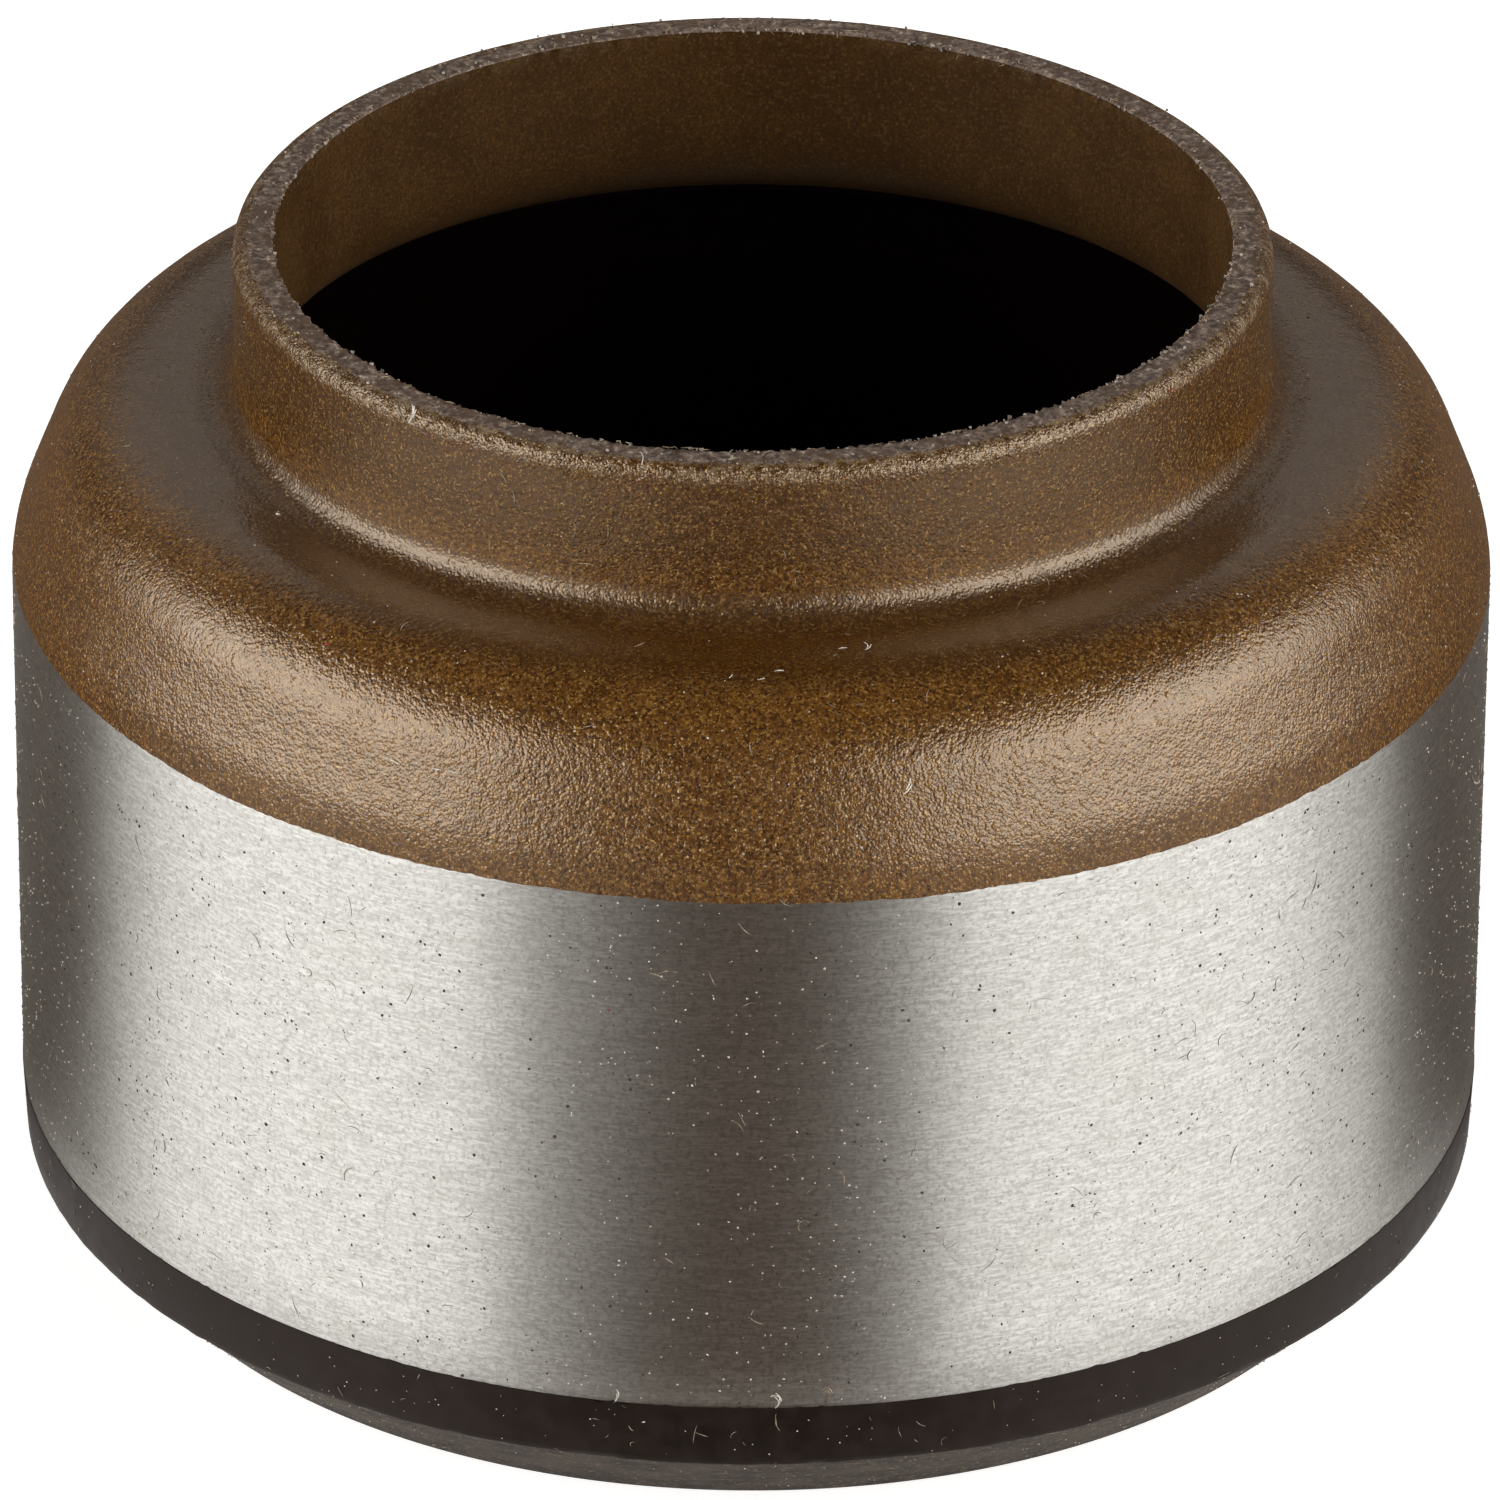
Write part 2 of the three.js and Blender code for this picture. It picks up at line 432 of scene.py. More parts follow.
def coat_material():
    """The brown bonding coat: fine leathery grain, smoother on the flat and
    round the collar's foot. Its colour is darkened there and on the collar
    as painted shade, and pale patches along the collar's top edge are a
    painted highlight."""
    material, tree, shader, place = new_material("brown_coat")
    flat, foot, collar, rim_edge_highlight, share = coat_zones(tree, place)
    normal, _, tone = coat_relief(tree, place, share)
    blotch = ramp(tree, noise_field(tree, place, 170, 4.0, 0.6), 0.35, 0.65)
    fleck = noise_field(tree, place, 9400, 2.0, 0.7)
    base = blend(tree, blotch, (0.090, 0.0325, 0.0032), (0.116, 0.0440, 0.0056))
    layers = (
        (ramp(tree, tone, 0.5, 0.0, 0.0, 0.85), (0.036, 0.0114, 0.0008)),
        (ramp(tree, tone, 0.6, 1.0, 0.0, 0.7), (0.210, 0.096, 0.012)),
        # Painted shade on the collar.
        (product(tree, collar, 0.48), (0.036, 0.0128, 0.0006)),
        (ramp(tree, fleck, 0.57, 0.69, 0.0, 0.85), (0.390, 0.225, 0.060)),
        (ramp(tree, fleck, 0.44, 0.33, 0.0, 0.85), (0.020, 0.0064, 0.0006)),
        # Painted shade on the flat and round the collar's foot.
        (product(tree, flat, 0.6), (0.030, 0.0098, 0.0008)),
        (product(tree, foot, 0.6), (0.024, 0.0088, 0.0022)),
        # Painted highlight: pale patches along the collar's top edge.
        (product(tree, rim_edge_highlight, 0.5), (0.330, 0.245, 0.155)),
    )
    for amount, colour in layers:
        base = blend(tree, amount, base, colour)
    uneven = ramp(tree, noise_field(tree, place, 700, 3.0, 0.6), 0.2, 0.8, 0.15, 0.21)
    rough = maths(tree, "ADD", uneven, ramp(tree, tone, 0.0, 1.0, 0.07, 0.0))
    rough = maths(tree, "ADD", rough, product(tree, foot, 0.07))
    finish(tree, shader, base, rough, normal)
    set_gloss(shader, 1.95, (1.0, 0.82, 0.62))
    return material


def shaded_inner_coat_material():
    """The same coat inside the collar, duller, and darker as painted shade for the inside of the collar."""
    material, tree, shader, place = new_material("inner_coat")
    normal, grain, tone = coat_relief(tree, place, 0.6)
    blotch = ramp(tree, noise_field(tree, place, 260, 4.0, 0.6), 0.35, 0.65)
    light = ramp(tree, tone, 0.6, 1.0, 0.0, 0.5)
    # Painted shade: this base is darker than the outer coat's, for the inside of the collar.
    base = blend(tree, blotch, (0.046, 0.0172, 0.0020), (0.066, 0.0270, 0.0042))
    base = blend(tree, light, base, (0.110, 0.058, 0.018))
    base = blend(tree, ramp(tree, grain, 0.35, 0.6, 0.6, 0.0), base, (0.020, 0.008, 0.002))
    finish(tree, shader, base, ramp(tree, blotch, 0.0, 1.0, 0.6, 0.7), normal)
    set_gloss(shader, 1.35, (1.0, 0.78, 0.52))
    return material


def ground_steel_material():
    """Bright steel with fine grinding lines that run round the wall, so a
    reflection spreads up and down but hardly sideways."""
    material, tree, shader, place = new_material("ground_steel")
    fine = noise_field(tree, place, 1.0, 2.0, 0.6, (2400.0, 2400.0, 15000.0))
    faint = noise_field(tree, place, 1.0, 1.0, 0.5, (600.0, 600.0, 8000.0))
    mist = noise_field(tree, place, 6500, 2.0, 0.7)
    clouds = noise_field(tree, place, 330, 4.0, 0.6)
    lines = maths(tree, "ADD", product(tree, fine, 0.7), product(tree, faint, 0.3))
    base = blend(tree, ramp(tree, lines, 0.32, 0.68), (0.52, 0.517, 0.485), (0.775, 0.777, 0.740))
    base = blend(tree, ramp(tree, mist, 0.45, 0.7, 0.0, 0.7), base, (0.40, 0.38, 0.35))
    base = blend(tree, ramp(tree, clouds, 0.35, 0.75, 0.0, 0.25), base, (0.58, 0.555, 0.50))
    finish(tree, shader, base, ramp(tree, clouds, 0.25, 0.75, 0.40, 0.45), bump(tree, lines, 0.0018))
    tangent = node(tree, "Tangent", direction_type="RADIAL", axis="Z")
    tree.links.new(tangent.outputs[0], shader.inputs["Tangent"])
    shader.inputs["Metallic"].default_value = 1.0
    shader.inputs["Anisotropic"].default_value = 0.98
    shader.inputs["Anisotropic Rotation"].default_value = 0.25
    return material


def sheared_rim_material():
    """The rim's cut face: grey brown, torn and dull."""
    material, tree, shader, place = new_material("sheared_rim")
    tears = noise_field(tree, place, 3200, 4.0, 0.75)
    patches = noise_field(tree, place, 900, 3.0, 0.7)
    base = blend(tree, ramp(tree, tears, 0.38, 0.64), (0.050, 0.030, 0.020), (0.260, 0.186, 0.136))
    base = blend(tree, ramp(tree, patches, 0.48, 0.60, 0.0, 0.7), base, (0.075, 0.036, 0.014))
    base = blend(tree, ramp(tree, tears, 0.58, 0.68, 0.0, 0.9), base, (0.520, 0.430, 0.340))
    base = blend(tree, ramp(tree, tears, 0.4, 0.3, 0.0, 0.8), base, (0.022, 0.013, 0.009))
    finish(tree, shader, base, ramp(tree, tears, 0.3, 0.7, 0.4, 0.62), bump(tree, tears, 0.10))
    set_gloss(shader, 1.7, (1.0, 0.86, 0.76))
    return material


def inner_steel_material():
    """Plain coated steel where the case is hidden behind the rubber."""
    material, tree, shader, place = new_material("hidden_steel")
    tone = ramp(tree, noise_field(tree, place, 900, 3.0), 0.3, 0.7)
    base = blend(tree, tone, (0.09, 0.06, 0.04), (0.14, 0.09, 0.06))
    normal = bump(tree, noise_field(tree, place, 3000, 2.0), 0.01)
    finish(tree, shader, base, ramp(tree, tone, 0.0, 1.0, 0.45, 0.6), normal)
    shader.inputs["Metallic"].default_value = 0.6
    return material


def rubber_material():
    """Smooth moulded black rubber."""
    material, tree, shader, place = new_material("black_rubber")
    tone = noise_field(tree, place, 1200, 4.0, 0.6)
    base = blend(tree, ramp(tree, tone, 0.35, 0.7), (0.0058, 0.0034, 0.0024), (0.0120, 0.0085, 0.0066))
    normal = bump(tree, noise_field(tree, place, 6000, 2.0), 0.004)
    finish(tree, shader, base, ramp(tree, tone, 0.3, 0.75, 0.46, 0.56), normal)
    set_gloss(shader, 1.4, (1.0, 0.80, 0.70))
    return material


def shaded_inner_rubber_material():
    """The lining inside the case: the same rubber, duller, and darker as painted shade for the inside of the
    case.
    """
    material, tree, shader, place = new_material("inner_rubber")
    tone = ramp(tree, noise_field(tree, place, 900, 3.0, 0.6), 0.35, 0.7)
    # Painted shade: this base is darker than the outer rubber's, for the inside of the case.
    base = blend(tree, tone, (0.0014, 0.0004, 0.0003), (0.0024, 0.0008, 0.0006))
    normal = bump(tree, noise_field(tree, place, 4000, 2.0), 0.006)
    finish(tree, shader, base, ramp(tree, tone, 0.0, 1.0, 0.6, 0.7), normal)
    set_gloss(shader, 1.12, (1.0, 0.5, 0.4))
    return material


def scuffed_rubber_material():
    """The lower chamfer: trimmed rubber, grey and mottled with dark patches
    that are drawn out round the edge."""
    material, tree, shader, place = new_material("scuffed_rubber")
    patches = noise_field(tree, place, 1.0, 5.0, 0.65, (520.0, 520.0, 1100.0))
    streaks = noise_field(tree, place, 1.0, 3.0, 0.6, (500.0, 500.0, 6500.0))
    fine = noise_field(tree, place, 4200, 3.0, 0.7)
    base = blend(tree, ramp(tree, patches, 0.40, 0.56), (0.014, 0.010, 0.0075), (0.062, 0.047, 0.035))
    base = blend(tree, ramp(tree, streaks, 0.45, 0.75, 0.0, 0.5), base, (0.120, 0.094, 0.072))
    base = blend(tree, ramp(tree, fine, 0.5, 0.7, 0.0, 0.8), base, (0.270, 0.220, 0.170))
    base = blend(tree, ramp(tree, fine, 0.34, 0.46, 0.8, 0.0), base, (0.018, 0.015, 0.013))
    finish(tree, shader, base, ramp(tree, fine, 0.3, 0.7, 0.6, 0.85), bump(tree, fine, 0.05))
    set_gloss(shader, 1.28, (1.0, 0.86, 0.76))
    return material


def spring_material():
    """Bright drawn wire."""
    material, tree, shader, place = new_material("spring_wire")
    drawn = noise_field(tree, place, 2500, 3.0)
    base = blend(tree, ramp(tree, drawn, 0.3, 0.7), (0.42, 0.41, 0.40), (0.60, 0.59, 0.57))
    finish(tree, shader, base, ramp(tree, drawn, 0.3, 0.7, 0.25, 0.4), bump(tree, drawn, 0.003))
    shader.inputs["Metallic"].default_value = 1.0
    return material


def dust_material(name, dark, light):
    """Matt dust or lint between two tones."""
    material, tree, shader, place = new_material(name)
    tone = ramp(tree, noise_field(tree, place, 4000, 2.0), 0.35, 0.65)
    base = blend(tree, tone, dark, light)
    finish(tree, shader, base, ramp(tree, tone, 0.0, 1.0, 0.6, 0.9), bump(tree, tone, 0.004))
    return material


# Steel case
COAT, STEEL, RIM, INNER, HIDDEN = range(5)


def case_outline():
    """The case's section and the material of each band after a point."""
    margin = SKIN_MARGIN
    foot, top = joggle(margin)
    rim_centre = (COLLAR_RADIUS - RIM_CORNER, RIM_HEIGHT - RIM_CORNER)
    inner_collar = COLLAR_RADIUS - SHEET
    dome = shoulder(margin, 8, 22, 0.36)
    dome = dome[dome[:, 1] > COAT_START + 0.12]
    parts = [
        (HIDDEN, joined([(FLANGE_BORE, FLANGE_UNDERSIDE)], flange_bend(0, 8), [foot])),
        (STEEL, joined([top], line((top[0], 7.0), (top[0], 23.8), 6.0), [(top[0], 24.4)])),
        (COAT, joined([(top[0] - 0.003, COAT_START)], dome)),
        (COAT, line(dome[-1], collar_foot(0, 1)[0], 0.36)[1:]),
        (COAT, collar_foot(0, 9)[1:]),
        (COAT, line(collar_foot(0, 1)[-1], (COLLAR_RADIUS, rim_centre[1]), 0.37)[1:]),
        (COAT, arc(rim_centre, RIM_CORNER, 0, 80, 5)[1:-1]),
        (RIM, arc(rim_centre, RIM_CORNER, 80, 90, 1)),
        (RIM, line((rim_centre[0], RIM_HEIGHT), (inner_collar + 0.04, RIM_HEIGHT), 0.17)[1:]),
        (INNER, line((inner_collar, RIM_HEIGHT - 0.12), collar_foot(SHEET, 1)[-1], 0.7)),
        (INNER, collar_foot(SHEET, 7)[::-1][1:]),
        (HIDDEN, shoulder(SHEET, 3, 6, 9.0)[::-1]),
        (HIDDEN, joined([joggle(SHEET)[1]], [joggle(SHEET)[0]])),
        (HIDDEN, flange_bend(SHEET, 4)[::-1]),
        (HIDDEN, [(FLANGE_BORE, FLANGE_UNDERSIDE + SHEET)]),
    ]
    return stacked(parts)


def shape_case(outline, numbers):
    """Gives the move that turns the plain section into the made one: a tilted,
    ragged coat line, a slightly uneven coat and a torn rim."""
    outer = outline[: int(np.argmax(outline[:, 1]))]
    wall = outer[outer[:, 1] >= BAND_TOP]
    ragged = 0.013 * ring_noise(TURNS, 11, 120, 390, 0.1) + 0.016 * ring_noise(TURNS, 12, 8, 90, 0.5)

    def move(radius, height, angle):
        flat_radius = outline[:, 0][:, None]
        flat_height = outline[:, 1][:, None]
        outside = np.zeros(len(outline), bool)
        outside[: len(outer)] = True
        outside = outside[:, None]
        tilt = COAT_START_TILT * OUTER_RADIUS * np.cos(angle)
        near = np.clip(1 - np.abs(flat_height - COAT_START) / 5.0, 0, 1)
        on_line = (np.abs(flat_height - COAT_START) < 1e-6) & outside
        lift = np.where(outside & (flat_height > 8), tilt * near, 0) + np.where(on_line, ragged, 0)
        moved = height + lift
        shown = outside & (near > 0) & (flat_height > 8)
        radius = np.where(shown, np.interp(moved, wall[:, 1], wall[:, 0]), radius)
        height = np.where(shown, moved, height)
        coat = ((numbers == COAT) | (numbers == INNER))[:, None] & ~on_line
        swell = surface_noise(radius, height, angle, 2.2, 1) * 0.012
        grain = surface_noise(radius, height, angle, 0.55, 2) * 0.010
        valley = (np.abs(flat_height - SHOULDER_HEIGHT) < 0.5) & outside
        amount = np.where(coat, swell + np.where(valley, 0.3, 1.0) * grain - 0.008, 0)
        radius = radius + amount
        torn = (numbers == RIM)[:, None]
        tear = surface_noise(radius, height, angle, 0.28, 3)
        slow = 0.03 * ring_noise(TURNS, 14, 2, 14, 0.6)
        height = height + np.where(torn, 0.08 * tear - 0.03 + slow, 0)
        edge = torn & (np.abs(flat_radius - (COLLAR_RADIUS - SHEET + 0.04)) < 1e-6)
        chips = 0.06 * ring_noise(TURNS, 15, 30, 390, 0.15)
        radius = radius + np.where(edge, np.clip(chips, -0.12, 0.08), 0)
        seam = torn & (np.abs(flat_radius - outline[np.argmax(numbers == RIM), 0]) < 1e-6)
        radius = radius + np.where(seam, 0.05 * ring_noise(TURNS, 16, 20, 390, 0.3), 0)
        return radius, np.minimum(height, RIM_HEIGHT + 0.04)

    return move


def build_case():
    outline, numbers = case_outline()
    mesh = turned_mesh("outer_case_looks", outline, TURNS, shape_case(outline, numbers))
    set_band_materials(mesh, TURNS, numbers)
    materials = [
        coat_material(),
        ground_steel_material(),
        sheared_rim_material(),
        shaded_inner_coat_material(),
        inner_steel_material(),
    ]
    return add_piece("coated_case", mesh, materials, ["outer_case"])


# Rubber element
RUBBER, SCUFFED, LINER = range(3)
ELEMENT_FLOOR = FLANGE_UNDERSIDE + SHEET + BOND_GAP + LINING


def wrap_parts():
    """The band that shows outside, the chamfer below it and the seat behind it."""
    seat = -BOND_GAP
    band = OUTER_RADIUS - 0.004
    corner = band - BAND_LEAD_IN
    chamfer = line((OUTER_RADIUS - CHAMFER_WIDTH, 0.0), (corner, CHAMFER_HEIGHT), 0.3)
    return [
        (SCUFFED, chamfer[:-1]),
        (RUBBER, [(corner, CHAMFER_HEIGHT), (corner + 0.01, CHAMFER_HEIGHT + 0.03)]),
        (RUBBER, [(corner + 0.02, CHAMFER_HEIGHT + 0.2)]),
        (RUBBER, line((band - 0.09, 3.5), (band - 0.005, BAND_TOP - 0.05), 0.5)),
        (RUBBER, [(band - 0.005, BAND_TOP - 0.012), (band - 0.008, BAND_TOP)]),
        (RUBBER, [(OUTER_RADIUS - 0.10, BAND_TOP - 0.01), (OUTER_RADIUS - 0.35, BAND_TOP - 0.25)]),
        (RUBBER, joined([joggle(seat)[0]], flange_bend(seat, 8)[::-1])),
        (RUBBER, [(FLANGE_BORE - BOND_GAP, FLANGE_UNDERSIDE - BOND_GAP)]),
    ]


def lining_parts():
    """The lining bonded inside the case, up to the shoulder and back down."""
    bonded = SHEET + BOND_GAP
    deep = bonded + LINING
    ceiling = SHOULDER_HEIGHT - bonded
    end = COLLAR_RADIUS + FOOT_RADIUS + LINING_OVERLAP
    bend_centre = (OUTER_RADIUS - BAND_DEPTH - deep - LINING_BEND, ELEMENT_FLOOR + LINING_BEND)
    return [
        (LINER, joined([(FLANGE_BORE - BOND_GAP, FLANGE_UNDERSIDE + bonded)], flange_bend(bonded, 5))),
        (LINER, joggle(bonded)),
        (LINER, shoulder(bonded, 4, 8, 9.0)),
        (LINER, [(end, ceiling), (end, ceiling - LINING + 0.2), (end + 0.2, ceiling - LINING)]),
        (LINER, shoulder(deep, 8, 12, 1.0)[::-1]),
        (LINER, joggle(deep)[::-1]),
        (LINER, arc(bend_centre, LINING_BEND, 0, -90, 5)),
    ]


def lip_parts():
    """The main lip with its spring groove, then the dust lip and the nose."""
    groove = arc((SPRING_RADIUS, SPRING_HEIGHT), SPRING_COIL + BOND_GAP, -GROOVE_WRAP, GROOVE_WRAP - 360, 22)
    bead_foot = groove[0][1] - BEAD_THICKNESS
    waist = NOSE_RADIUS + WAIST_THICKNESS
    waist_foot = (waist + WAIST_FOOT_RADIUS, ELEMENT_FLOOR + WAIST_FOOT_RADIUS)
    crown = (LIP_RADIUS + LIP_RISE * math.tan(math.radians(LIP_OIL_ANGLE)), LIP_HEIGHT + LIP_RISE)
    edge = (LIP_RADIUS, LIP_HEIGHT)
    air_foot = LIP_HEIGHT - (NOSE_RADIUS - LIP_RADIUS) / math.tan(math.radians(LIP_AIR_ANGLE))
    fin = NOSE_RADIUS - DUST_LIP_RADIUS
    tip = DUST_LIP_HEIGHT - fin
    return [
        (RUBBER, arc(waist_foot, WAIST_FOOT_RADIUS, -90, -180, 6)),
        (RUBBER, [(waist, bead_foot - BEAD_SLOPE), (groove[0][0], bead_foot)]),
        (RUBBER, groove),
        (RUBBER, [(crown[0] + LIP_CROWN_WIDTH, crown[1] - LIP_CROWN_BEVEL), crown]),
        (RUBBER, line(crown, edge, 0.6)[1:]),
        (RUBBER, line(edge, (NOSE_RADIUS, air_foot), 0.8)[1:]),
        (RUBBER, line((NOSE_RADIUS, DUST_LIP_HEIGHT), (DUST_LIP_RADIUS, tip), 0.5)),
        (RUBBER, [(DUST_LIP_RADIUS, tip - DUST_LIP_EDGE)]),
        (RUBBER, [(NOSE_RADIUS, tip - DUST_LIP_EDGE + fin * DUST_LIP_UNDERCUT)]),
        (RUBBER, [(NOSE_RADIUS, NOSE_CHAMFER), (NOSE_RADIUS + NOSE_CHAMFER, 0.0)]),
    ]


def element_outline():
    """The rubber's section and the material of each band after a point."""
    return stacked([*wrap_parts(), *lining_parts(), *lip_parts()])


def shape_element(outline, numbers):
    """A finely jagged top edge on the band and a nicked, uneven chamfer."""
    jagged = 0.022 * ring_noise(RUBBER_TURNS, 21, 40, 310, 0.2)
    jagged += 0.012 * ring_noise(RUBBER_TURNS, 22, 5, 40, 0.4)
    trimmed = 0.014 * ring_noise(RUBBER_TURNS, 23, 12, 200, 0.5)

    def move(radius, height, angle):
        flat_height = outline[:, 1][:, None]
        flat_radius = outline[:, 0][:, None]
        on_edge = (np.abs(flat_height - BAND_TOP) < 0.013) & (flat_radius > OUTER_RADIUS - 0.2)
        height = height + np.where(on_edge, jagged, 0)
        on_chamfer = (numbers == SCUFFED)[:, None] & (flat_height > 0.05)
        nicks = surface_noise(radius, height, angle, 0.7, 5)
        radius = radius - np.where(on_chamfer, 0.03 + 0.06 * np.abs(nicks), 0)
        corner = np.abs(flat_height - CHAMFER_HEIGHT) < 1e-6
        height = height + np.where(corner, trimmed, 0)
        return radius, np.maximum(height, 0)

    return move


def build_element():
    outline, numbers = element_outline()
    mesh = turned_mesh("sealing_element_looks", outline, RUBBER_TURNS, shape_element(outline, numbers))
    set_band_materials(mesh, RUBBER_TURNS, numbers)
    materials = [rubber_material(), scuffed_rubber_material(), shaded_inner_rubber_material()]
    return add_piece("rubber_element", mesh, materials, ["sealing_element"])


# Garter spring
def build_spring():
    """The wire of the closed coil spring, wound round its ring."""
    sides = 6
    per_turn = 12
    steps = SPRING_TURNS * per_turn
    coil = SPRING_COIL - SPRING_WIRE / 2
    wind = np.arange(steps) * (2 * math.pi / per_turn)
    along = np.arange(steps) * (2 * math.pi / steps)
    out = np.stack([np.cos(along), np.sin(along), np.zeros(steps)], axis=1)
    up = np.array([0.0, 0.0, 1.0])
    turned_out = np.cos(wind)[:, None] * out + np.sin(wind)[:, None] * up
    centre = SPRING_RADIUS * out + np.array([0, 0, SPRING_HEIGHT]) + coil * turned_out
    ahead = np.roll(centre, -1, axis=0) - np.roll(centre, 1, axis=0)
    ahead /= np.linalg.norm(ahead, axis=1)[:, None]
    across = np.cross(ahead, turned_out)
    points = []
    for side in range(sides):
        turn = 2 * math.pi * side / sides
        points.append(centre + SPRING_WIRE / 2 * (math.cos(turn) * turned_out + math.sin(turn) * across))
    points = np.stack(points, axis=1) * MM
    mesh = closed_grid("garter_spring_looks", points)
    return add_piece("spring_coil", mesh, [spring_material()], ["garter_spring"])


# Burrs, dust and lint
def visible_skin():
    """The section of everything that shows outside, from the bottom edge up to
    the middle of the rim."""
    case, numbers = case_outline()
    start = int(np.argmax(numbers == STEEL))
    end = int(np.argmax(numbers == RIM)) + 3
    band = OUTER_RADIUS - 0.03
    low = line((OUTER_RADIUS - CHAMFER_WIDTH, 0.0), (band - 0.13, CHAMFER_HEIGHT), 0.3)
    return joined(low, line((band - 0.05, 3.1), (band, BAND_TOP - 0.1), 0.5), case[start:end])


class Skin:
    """Places things on a turned section: azimuth in degrees from the camera's
    side, positive to the right, and reach in mm along the section."""

    def __init__(self, section):
        self.section = section
        steps = np.hypot(*np.diff(section, axis=0).T)
        self.reach = np.concatenate([[0], np.cumsum(steps)])

    def reach_at(self, height):
        """The reach of the first point at a height."""
        return float(np.interp(height, self.section[:, 1], self.reach))

    def place(self, azimuth, reach, across, along, lift):
        """A point across and along the surface from a place on it, and above it."""
        at = min(max(reach + along, 0.01), self.reach[-1] - 0.01)
        radius = np.interp(at, self.reach, self.section[:, 0])
        height = np.interp(at, self.reach, self.section[:, 1])
        ahead = np.interp(at + 0.05, self.reach, self.section[:, 0]) - radius
        up = np.interp(at + 0.05, self.reach, self.section[:, 1]) - height
        size = math.hypot(ahead, up) or 1.0
        radius += lift * up / size
        height -= lift * ahead / size
        turn = math.radians(azimuth) + across / max(radius, 1.0)
        return (radius * math.sin(turn), -radius * math.cos(turn), height)


class Heap:
    """Collects many small shapes into one mesh."""

    def __init__(self):
        self.points = []
        self.faces = []

    def add(self, points, faces):
        start = len(self.points)
        self.points.extend(points)
        self.faces.extend(tuple(start + corner for corner in face) for face in faces)

    def mesh(self, name):
        """Every point is held inside the part's own box."""
        points = np.array(self.points)
        reach = OUTER_RADIUS - DUST_MARGIN
        points[:, :2] = np.clip(points[:, :2], -reach, reach)
        points[:, 2] = np.clip(points[:, 2], DUST_MARGIN / 2, BOX_HEIGHT - DUST_MARGIN)
        mesh = bpy.data.meshes.new(name)
        mesh.from_pydata((points * MM).tolist(), [], self.faces)
        mesh.polygons.foreach_set("use_smooth", [True] * len(self.faces))
        return mesh


def add_fibre(heap, skin, dice, azimuth, reach, length, turn, bend, width, lift=0.01):
    """A thin curved fibre that lies on the skin and tapers to both ends. turn
    is its direction from across to along, and bend how far it curls, in degrees."""
    steps = 9
    sides = 4
    heading = math.radians(turn)
    curl = math.radians(bend) / steps
    across, along = 0.0, 0.0
    path = []
    for index in range(steps + 1):
        height = lift + dice.uniform(-0.004, 0.004)
        path.append(Vector(skin.place(azimuth, reach, across, along, height)))
        heading += curl + dice.uniform(-0.12, 0.12)
        across += length / steps * math.cos(heading)
        along += length / steps * math.sin(heading)
    points = []
    for index, centre in enumerate(path):
        ahead = (path[min(index + 1, steps)] - path[max(index - 1, 0)]).normalized()
        side = ahead.cross(Vector((centre.x, centre.y, 0.0)).normalized())
        side = side.normalized() if side.length > 1e-3 else Vector((0, 0, 1))
        over = side.cross(ahead)
        thick = width / 2 * (0.35 + 0.65 * math.sin(math.pi * (0.06 + 0.88 * index / steps)))
        for corner in range(sides):
            angle = 2 * math.pi * corner / sides
            points.append(tuple(centre + thick * (math.cos(angle) * side + math.sin(angle) * over)))
    faces = []
    for index in range(steps):
        for corner in range(sides):
            other = (corner + 1) % sides
            low, high = index * sides, (index + 1) * sides
            faces.append((low + corner, low + other, high + other, high + corner))
    faces.append(tuple(range(sides))[::-1])
    faces.append(tuple(range(steps * sides, (steps + 1) * sides)))
    heap.add(points, faces)


def add_speck(heap, skin, dice, azimuth, reach, size, flat=0.35):
    """A small lumpy grain that sits on the skin."""
    sides = 6
    stretch = dice.uniform(0.6, 1.0)
    spin = dice.uniform(0, math.pi)
    points = [skin.place(azimuth, reach, 0, 0, size * flat * dice.uniform(0.7, 1.0))]
    for ring, (wide, high) in enumerate(((0.62, 0.75), (1.0, 0.1))):
        for corner in range(sides):
            angle = 2 * math.pi * (corner + 0.5 * ring) / sides
            reach_out = size / 2 * wide * dice.uniform(0.7, 1.15)
            x, y = reach_out * math.cos(angle), reach_out * stretch * math.sin(angle)
            across = x * math.cos(spin) - y * math.sin(spin)
            along = x * math.sin(spin) + y * math.cos(spin)
            points.append(skin.place(azimuth, reach, across, along, size * flat * high))
    points.append(skin.place(azimuth, reach, 0, 0, -size * 0.3))
    faces = []
    for corner in range(sides):
        other = (corner + 1) % sides
        faces.append((0, 1 + corner, 1 + other))
        faces.append((1 + corner, 1 + sides + corner, 1 + other))
        faces.append((1 + other, 1 + sides + corner, 1 + sides + other))
        faces.append((1 + sides + corner, 2 * sides + 1, 1 + sides + other))
    heap.add(points, faces)


def scatter(dice, skin, low, high, count):
    """Random places all round the skin between two heights, a third of them in
    loose clusters."""
    start, end = skin.reach_at(low), skin.reach_at(high)
    places = []
    while len(places) < count:
        azimuth, reach = dice.uniform(-180, 180), dice.uniform(start, end)
        together = dice.choice((1, 1, 1, 1, 1, 3))
        for _ in range(together):
            near = (azimuth + dice.gauss(0, 1.6), reach + dice.gauss(0, 0.7))
            if start < near[1] < end:
                places.append(near if together > 1 else (azimuth, reach))
    return places[:count]


